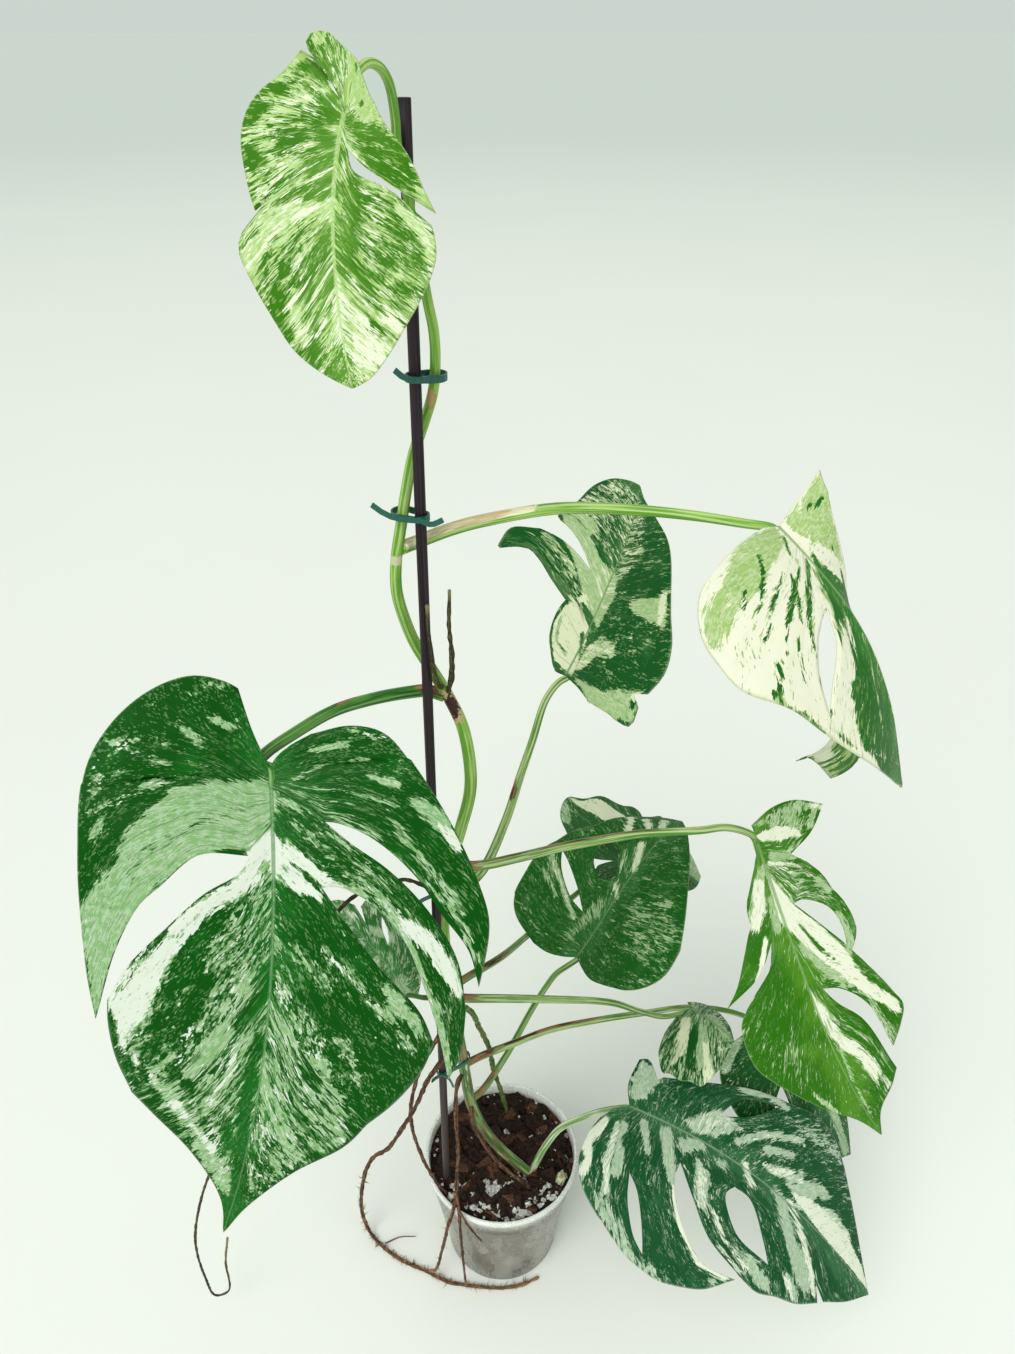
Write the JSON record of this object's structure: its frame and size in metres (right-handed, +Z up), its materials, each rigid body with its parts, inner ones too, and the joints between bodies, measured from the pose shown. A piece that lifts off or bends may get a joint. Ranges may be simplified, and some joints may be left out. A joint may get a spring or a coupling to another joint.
{
  "type": "potted variegated climbing plant",
  "caption": "Variegated aroid with cut leaves, climbing a stake in a clear nursery pot; stands on a table or shelf as room greenery.",
  "frame": {"origin": "centre of the pot's base, on the surface it stands on", "axes": "+Z up; +Y away from the side the picture was taken from; +X to the right as seen from there"},
  "size_m": [0.5507, 0.4396, 0.9256],
  "materials": {
    "pot": "gloss",
    "mix": "matte",
    "stake": "satin",
    "stem": "satin",
    "leaf_green": "satin",
    "leaf_cream": "satin",
    "root": "matte",
    "tie": "satin"
  },
  "bodies": {
    "root": {"pot": "pot", "soil": "mix", "stake": "stake", "main_stem": "stem", "leaf_left_large": "leaf_green", "leaf_top": "leaf_green", "leaf_right_cream": "leaf_cream", "leaf_right_bright": "leaf_green", "leaf_front_low": "leaf_green", "leaf_upper_back": "leaf_green", "leaf_mid_back": "leaf_green", "leaf_behind_mid": "leaf_green", "leaf_small_striped": "leaf_green", "leaf_dark_behind": "leaf_green", "leaf_small_behind": "leaf_green", "root_upright": "root", "root_on_stake": "root", "root_green": "root", "root_left": "root", "root_round_pot": "root", "root_over_rim": "root", "root_along_soil": "root", "root_wiry": "root", "cut_stub": "stem", "tie_upper": "tie", "tie_middle": "tie", "tie_lower": "tie", "tie_base": "tie"}
  },
  "joints": []
}
